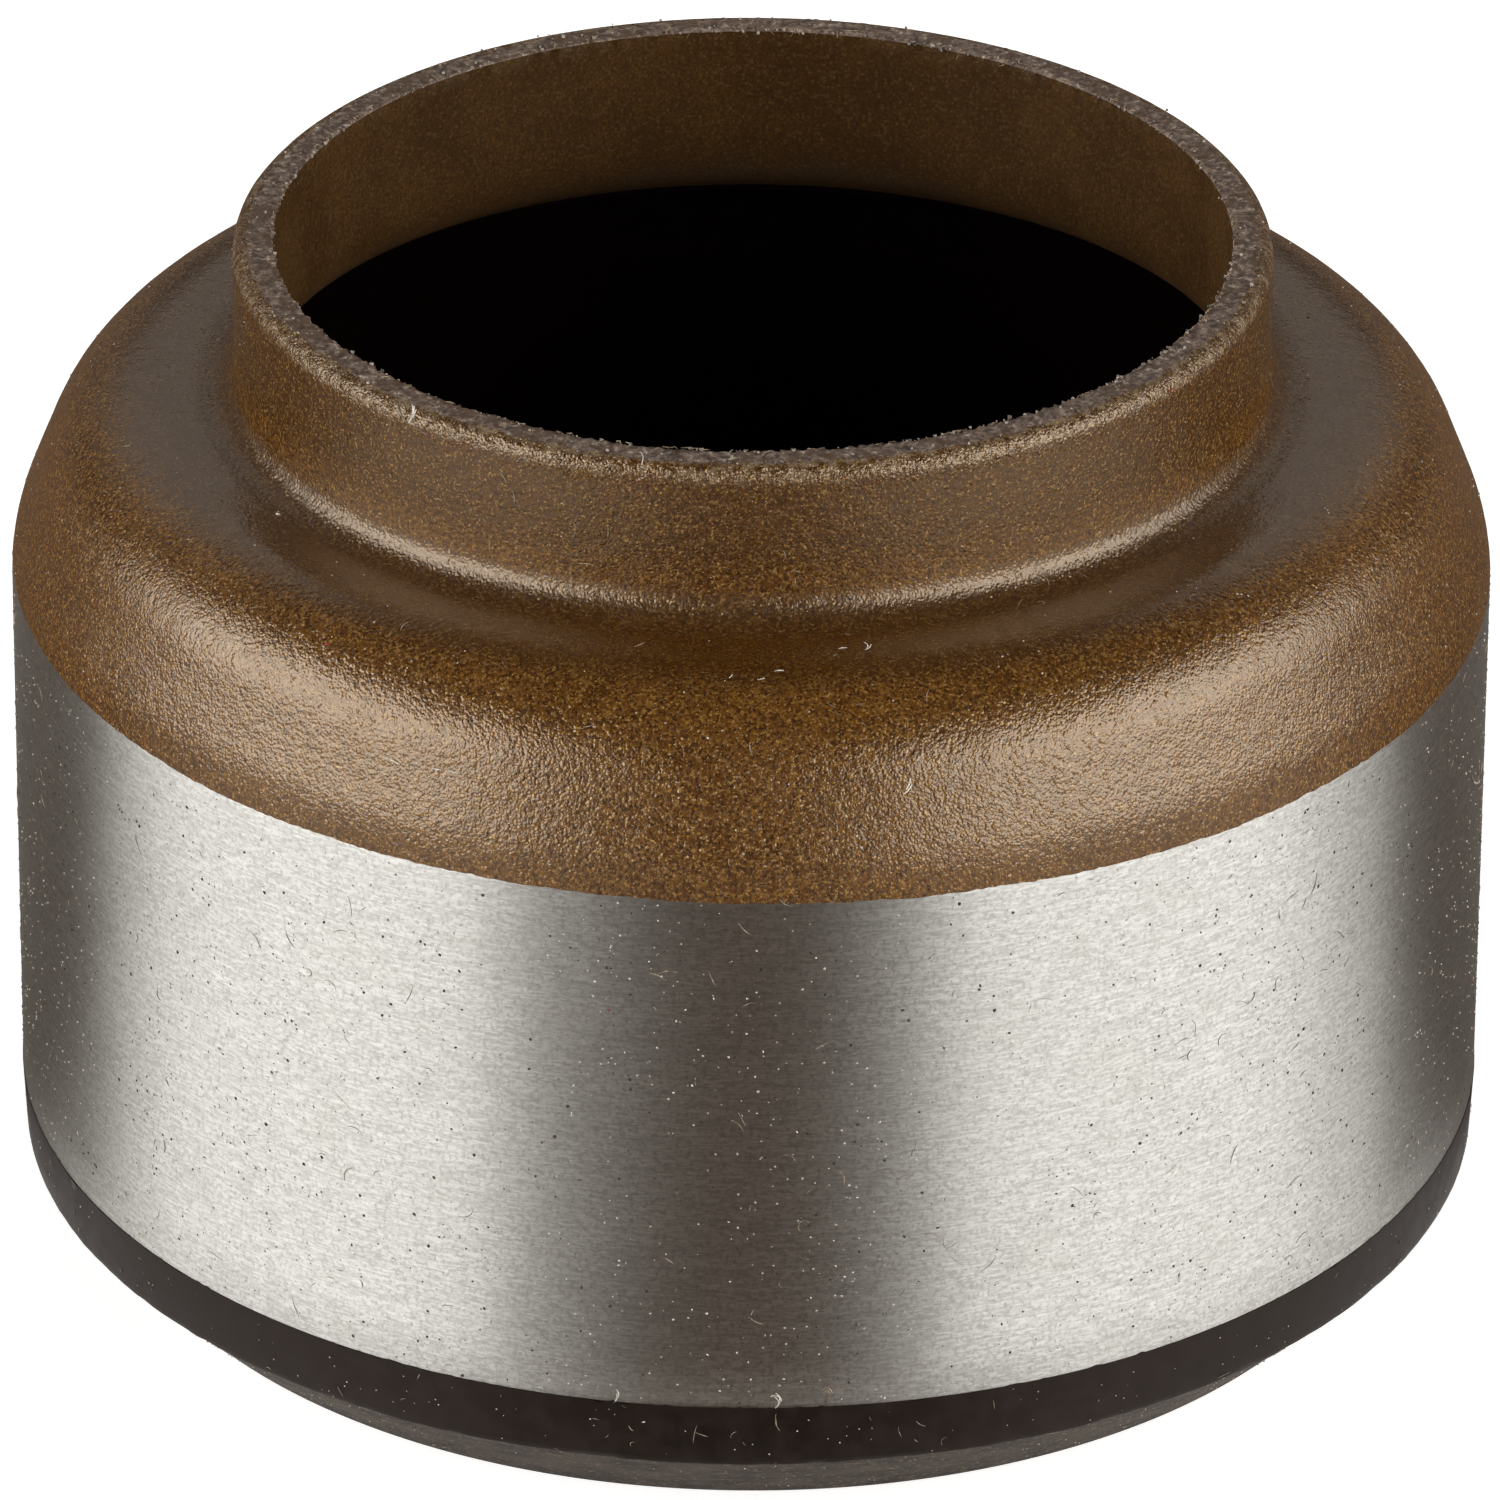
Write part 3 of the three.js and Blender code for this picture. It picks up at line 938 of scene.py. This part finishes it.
# Flakes and fibres that can be made out one by one in the photograph: what it
# is, its pixel there, then length, direction from across to along, curl and
# width on the part, and how many lie side by side.
PALE_MARKS = (
    ("first dash", 385, 758, 0.60, -4, 0, 0.06, 1),
    ("second dash", 410, 763, 0.50, -2, 0, 0.05, 1),
    ("third dash", 432, 768, 0.35, -3, 0, 0.07, 1),
    ("fourth dash", 448, 770, 0.40, -3, 0, 0.06, 1),
    ("flake at the rim", 409, 423, 0.55, 60, 30, 0.12, 3),
    ("speck at the foot", 276, 514, 0.16, 20, 0, 0.16, 1),
    ("fibre on the rim", 642, 465, 0.75, 88, 25, 0.05, 1),
    ("hair on the rim", 854, 455, 0.45, 80, 60, 0.03, 1),
    ("curl in the valley", 865, 650, 0.45, 20, 60, 0.06, 2),
    ("crumb in the valley", 847, 648, 0.30, 160, 40, 0.05, 1),
    ("hook in the valley", 784, 671, 0.35, 150, 50, 0.06, 1),
    ("dash in the valley", 757, 680, 0.28, 0, 30, 0.05, 1),
    ("dot in the valley", 729, 678, 0.20, 40, 0, 0.06, 1),
    ("flake on the shoulder", 903, 794, 0.45, 15, 40, 0.08, 2),
    ("left tuft", 612, 1403, 0.50, 10, 90, 0.05, 2),
    ("speck on the band", 642, 1422, 0.12, 0, 0, 0.08, 1),
    ("middle tuft", 775, 1408, 0.55, 20, 120, 0.05, 3),
)
TAN_MARKS = (
    ("fibre by the flake", 401, 421, 0.70, 118, 20, 0.08, 2),
    ("forked fibre", 513, 506, 0.55, 60, 40, 0.05, 2),
    ("fibre on the shoulder", 929, 689, 0.60, 235, 30, 0.05, 1),
    ("right tuft", 825, 1402, 0.60, 10, 150, 0.05, 3),
    ("tail of the tuft", 776, 1413, 0.75, 262, 30, 0.06, 1),
    ("fibre on the band", 697, 1425, 0.75, 245, 20, 0.04, 1),
    ("flake on the rim face", 728, 460, 0.40, 20, 20, 0.10, 2),
)
RED_MARKS = (
    ("red thread", 324, 645, 0.22, 20, 0, 0.10, 1),
    ("red speck", 607, 1010, 0.12, 0, 0, 0.08, 1),
    ("pink speck", 1170, 392, 0.18, 40, 0, 0.08, 1),
)


def place_in_photo(skin, x, y):
    """The azimuth and reach where the camera's ray through a pixel of the
    photograph first meets the skin."""
    right, up, back = camera_axes()
    pixel = CAMERA_LENS / SENSOR_WIDTH * PHOTO_SIDE
    ray = (right * (x - PHOTO_SIDE / 2) + up * (PHOTO_SIDE / 2 - y)) / pixel - back
    start = (CAMERA_TARGET + CAMERA_DISTANCE * back) / MM
    steps = np.arange(430.0, 530.0, 0.01)[:, None]
    path = np.array(start) + steps * np.array(ray.normalized())
    radius = np.hypot(path[:, 0], path[:, 1])
    height = path[:, 2]
    skin_radius = np.interp(height, skin.section[:, 1], skin.section[:, 0], left=0.0, right=0.0)
    first = int(np.argmax((radius < skin_radius) & (height > 0)))
    azimuth = math.degrees(math.atan2(path[first, 0], -path[first, 1]))
    reaches = np.arange(0.0, skin.reach[-1], 0.01)
    across = np.interp(reaches, skin.reach, skin.section[:, 0]) - radius[first]
    along = np.interp(reaches, skin.reach, skin.section[:, 1]) - height[first]
    return azimuth, float(reaches[np.argmin(np.hypot(across, along))])


def build_marks(skin, dice, marks):
    heap = Heap()
    for _, x, y, length, turn, curl, width, count in marks:
        azimuth, reach = place_in_photo(skin, x, y)
        for index in range(count):
            aside = 0.12 * index
            heading = turn + 25 * index
            side = azimuth + 2 * aside
            add_fibre(heap, skin, dice, side, reach + aside, length, heading, curl, 0.75 * width)
    return heap.mesh("marks")


def build_dust(skin):
    """Pale grains, dark grains and tan lint over the whole outside."""
    dice = random.Random(41)
    pale, dark, lint = Heap(), Heap(), Heap()
    for low, high, count, small, large in (
        (5.3, 24.8, 6000, 0.04, 0.11),
        (25.2, 31.3, 420, 0.05, 0.11),
        (31.3, 37.0, 120, 0.04, 0.08),
        (0.3, 5.1, 900, 0.035, 0.085),
    ):
        for azimuth, reach in scatter(dice, skin, low, high, count):
            add_speck(pale, skin, dice, azimuth, reach, dice.uniform(small, large))
    for low, high, count, small, large in ((5.3, 24.8, 2300, 0.06, 0.16), (25.0, 37.0, 130, 0.06, 0.14)):
        for azimuth, reach in scatter(dice, skin, low, high, count):
            size = small + (large - small) * dice.random() ** 1.8
            add_speck(dark, skin, dice, azimuth, reach, size, flat=0.2)
    for low, high, count, longest in ((5.3, 24.8, 520, 0.8), (25.0, 37.0, 110, 0.7), (0.3, 5.1, 160, 0.6)):
        for azimuth, reach in scatter(dice, skin, low, high, count):
            length = 0.18 + (longest - 0.18) * dice.random() ** 1.8
            bend = dice.gauss(0, 70)
            turn = dice.uniform(0, 180)
            add_fibre(lint, skin, dice, azimuth, reach, length, turn, bend, dice.uniform(0.02, 0.036))
    pale_finish = dust_material("pale_dust", (0.26, 0.225, 0.175), (0.70, 0.64, 0.54))
    dark_finish = dust_material("dark_dust", (0.012, 0.010, 0.009), (0.09, 0.06, 0.04))
    lint_finish = dust_material("tan_lint", (0.15, 0.11, 0.07), (0.42, 0.34, 0.24))
    marks_finish = dust_material("pale_marks", (0.55, 0.50, 0.42), (0.85, 0.80, 0.70))
    red_finish = dust_material("red_specks", (0.30, 0.02, 0.02), (0.50, 0.06, 0.06))
    add_piece("pale_marks", build_marks(skin, dice, PALE_MARKS), [marks_finish])
    add_piece("tan_marks", build_marks(skin, dice, TAN_MARKS), [lint_finish])
    add_piece("red_specks", build_marks(skin, dice, RED_MARKS), [red_finish])
    add_piece("pale_grains", pale.mesh("pale_grains"), [pale_finish])
    add_piece("dark_grains", dark.mesh("dark_grains"), [dark_finish])
    add_piece("lint_fibres", lint.mesh("lint_fibres"), [lint_finish])


def add_crumb(heap, dice, centre, size):
    """A lumpy torn crumb with eight corners pulled about."""
    points = []
    for x in (-1, 1):
        for y in (-1, 1):
            for z in (-1, 1):
                pull = [size / 2 * side * dice.uniform(0.35, 1.0) for side in (x, y, z)]
                points.append(tuple(c + p for c, p in zip(centre, pull)))
    faces = [(0, 1, 3, 2), (4, 6, 7, 5), (0, 4, 5, 1), (2, 3, 7, 6), (0, 2, 6, 4), (1, 5, 7, 3)]
    heap.add(points, faces)


def build_burrs():
    """Torn crumbs on the rim, most at its inner edge, and shreds along that edge."""
    dice = random.Random(52)
    crumbs, shreds = Heap(), Heap()
    edge = COLLAR_RADIUS - SHEET
    for _ in range(150):
        middle = dice.uniform(0, 2 * math.pi)
        for _ in range(dice.choice((1, 2, 3, 6, 9))):
            turn = middle + dice.gauss(0, 0.03)
            radius = edge + dice.gauss(0.03, 0.06)
            height = RIM_HEIGHT + dice.uniform(-0.12, 0.0)
            centre = (radius * math.sin(turn), -radius * math.cos(turn), height)
            add_crumb(crumbs, dice, centre, 0.04 + 0.13 * dice.random() ** 3)
    for _ in range(260):
        turn = dice.uniform(0, 2 * math.pi)
        radius = dice.uniform(edge + 0.2, COLLAR_RADIUS - 0.3)
        centre = (radius * math.sin(turn), -radius * math.cos(turn), RIM_HEIGHT - 0.02)
        add_crumb(crumbs, dice, centre, 0.04 + 0.12 * dice.random() ** 3)
    edge_section = np.array([(edge + 0.35, RIM_HEIGHT), (edge + 0.02, RIM_HEIGHT), (edge, RIM_HEIGHT - 0.8)])
    inner = Skin(edge_section)
    for _ in range(230):
        azimuth = dice.uniform(-180, 180)
        length = dice.uniform(0.12, 0.55)
        lift = dice.uniform(0.0, 0.03)
        turn = dice.choice((70, 90, 110, 10, 170)) + dice.gauss(0, 20)
        bend = dice.gauss(0, 60)
        add_fibre(shreds, inner, dice, azimuth, 0.25, length, turn, bend, dice.uniform(0.018, 0.045), lift)
    crumb_finish = dust_material("rim_crumbs", (0.08, 0.055, 0.042), (0.50, 0.42, 0.33))
    shred_finish = dust_material("rim_shreds", (0.14, 0.08, 0.04), (0.46, 0.36, 0.23))
    add_piece("rim_crumbs", crumbs.mesh("rim_crumbs"), [crumb_finish])
    add_piece("rim_shreds", shreds.mesh("rim_shreds"), [shred_finish])


# Stage
FLOOR_GLOW = 0.78
FLOOR_REACH = 3.0
RING_GLOW = 0.54
RING_COLOUR = (0.180, 0.128, 0.098)
WORLD_LIGHT = 0.05
LAMP_DISTANCE = 0.9
LAMP_AIM_HEIGHT = 0.018

# Lamps: name, azimuth and elevation in degrees, width and height, radiance.
# At each side a second lamp over the first makes it brighter in the middle.
LAMPS = (
    ("left_softbox", -73.5, 22, 1.24, 0.56, 2.66),
    ("left_centre", -68, 22, 1.04, 0.56, 1.672),
    ("left_spill", -31.5, 8, 0.35, 0.26, 0.532),
    ("right_softbox", 68, 22, 1.46, 0.56, 2.584),
    ("right_centre", 60, 22, 1.00, 0.56, 1.672),
    ("right_spill", 24, 8, 0.25, 0.26, 0.532),
    ("back_glow", 180, 34, 1.3, 0.50, 0.43),
)


def build_floor():
    """A plain pale floor, white to the camera and in reflections, that keeps
    the object's shadow. From below it is clear."""
    mesh = bpy.data.meshes.new("floor")
    turn = np.linspace(0, 2 * math.pi, 97)[:-1]
    ring = [(FLOOR_REACH * math.cos(a), FLOOR_REACH * math.sin(a), -0.00004) for a in turn]
    mesh.from_pydata(ring, [], [tuple(range(96))])
    floor = bpy.data.objects.new("floor", mesh)
    bpy.context.scene.collection.objects.link(floor)
    material, tree, shader, _ = new_material("pale_floor")
    shader.inputs["Base Color"].default_value = (0.60, 0.57, 0.54, 1.0)
    shader.inputs["Roughness"].default_value = 0.9
    path = node(tree, "LightPath")
    shown = maths(tree, "MAXIMUM", path.outputs["Is Camera Ray"], path.outputs["Is Glossy Ray"])
    shown = maths(tree, "MAXIMUM", shown, path.outputs["Is Transmission Ray"])
    glow = node(tree, "Emission", {"Strength": maths(tree, "MULTIPLY", shown, FLOOR_GLOW)})
    both = node(tree, "AddShader")
    tree.links.new(shader.outputs[0], both.inputs[0])
    tree.links.new(glow.outputs[0], both.inputs[1])
    clear = node(tree, "BsdfTransparent")
    below = node(tree, "NewGeometry").outputs["Backfacing"]
    sides = node(tree, "MixShader", {0: below, 1: both.outputs[0], 2: clear.outputs[0]})
    out = next(n for n in tree.nodes if n.type == "OUTPUT_MATERIAL")
    tree.links.new(sides.outputs[0], out.inputs["Surface"])
    mesh.materials.append(material)


def floor_ring():
    """A ring over the floor that only reflections see: dark in front and
    behind, and as bright as the lit floor at both sides."""
    mesh = bpy.data.meshes.new("floor_ring")
    turn = np.radians(np.linspace(0, 360, 97)[:-1])
    inner = [(0.027 * math.sin(a), -0.027 * math.cos(a), 0.0015) for a in turn]
    outer = [(0.8 * math.sin(a), -0.8 * math.cos(a), 0.0015) for a in turn]
    count = len(turn)
    quads = [(i, (i + 1) % count, count + (i + 1) % count, count + i) for i in range(count)]
    mesh.from_pydata(inner + outer, [], quads)
    ring = bpy.data.objects.new("floor_ring", mesh)
    bpy.context.scene.collection.objects.link(ring)
    material, tree, shader, place = new_material("floor_ring")
    shader.inputs["Base Color"].default_value = (*RING_COLOUR, 1.0)
    shader.inputs["Roughness"].default_value = 1.0
    parts = node(tree, "SeparateXYZ", {"Vector": place}).outputs
    azimuth = maths(tree, "ARCTAN2", parts["X"], maths(tree, "MULTIPLY", parts["Y"], -1.0))
    side = maths(tree, "MULTIPLY", maths(tree, "ABSOLUTE", azimuth, 0.0), 180 / math.pi)
    light = maths(tree, "MULTIPLY", ramp(tree, side, 2, 38), ramp(tree, side, 68, 102, 1.0, 0.0))
    glow = node(tree, "Emission", {"Strength": maths(tree, "MULTIPLY", light, RING_GLOW)})
    both = node(tree, "AddShader", {0: shader.outputs[0], 1: glow.outputs[0]})
    out = next(n for n in tree.nodes if n.type == "OUTPUT_MATERIAL")
    tree.links.new(both.outputs[0], out.inputs["Surface"])
    mesh.materials.append(material)
    for flag in ("camera", "diffuse", "transmission", "shadow", "volume_scatter"):
        setattr(ring, "visible_" + flag, False)


def softbox(name, azimuth, elevation, width, height, radiance):
    """A soft rectangular lamp, of a set brightness, that faces the object."""
    turn, tip = math.radians(azimuth), math.radians(elevation)
    out = Vector((math.sin(turn) * math.cos(tip), -math.cos(turn) * math.cos(tip), math.sin(tip)))
    lamp = bpy.data.lights.new(name, "AREA")
    lamp.shape = "RECTANGLE"
    lamp.size = width
    lamp.size_y = height
    lamp.energy = radiance * math.pi * width * height
    box = bpy.data.objects.new(name, lamp)
    bpy.context.scene.collection.objects.link(box)
    box.location = out * LAMP_DISTANCE + Vector((0, 0, LAMP_AIM_HEIGHT))
    box.rotation_mode = "QUATERNION"
    box.rotation_quaternion = (-out).to_track_quat("-Z", "Y")
    box.visible_camera = False


def build_world():
    world = bpy.data.worlds.new("studio")
    bpy.context.scene.world = world
    world.use_nodes = True
    tree = world.node_tree
    tree.nodes.clear()
    back = node(tree, "Background", {"Color": (1.0, 0.87, 0.78, 1.0), "Strength": WORLD_LIGHT})
    node(tree, "OutputWorld", {"Surface": back.outputs[0]})


def build_camera():
    data = bpy.data.cameras.new("camera")
    data.sensor_width = SENSOR_WIDTH
    data.lens = CAMERA_LENS
    data.clip_start = 0.05
    data.clip_end = 20.0
    camera = bpy.data.objects.new("camera", data)
    bpy.context.scene.collection.objects.link(camera)
    right, up, back = camera_axes()
    turn = Matrix((right, up, back)).transposed().to_4x4()
    camera.matrix_world = Matrix.Translation(CAMERA_TARGET + CAMERA_DISTANCE * back) @ turn
    bpy.context.scene.camera = camera


def build_studio():
    build_floor()
    build_world()
    for lamp in LAMPS:
        softbox(*lamp)
    floor_ring()


def main():
    build_camera()
    build_studio()
    build_case()
    build_element()
    build_spring()
    build_dust(Skin(visible_skin()))
    build_burrs()
    bpy.context.scene.view_settings.view_transform = "Standard"


main()
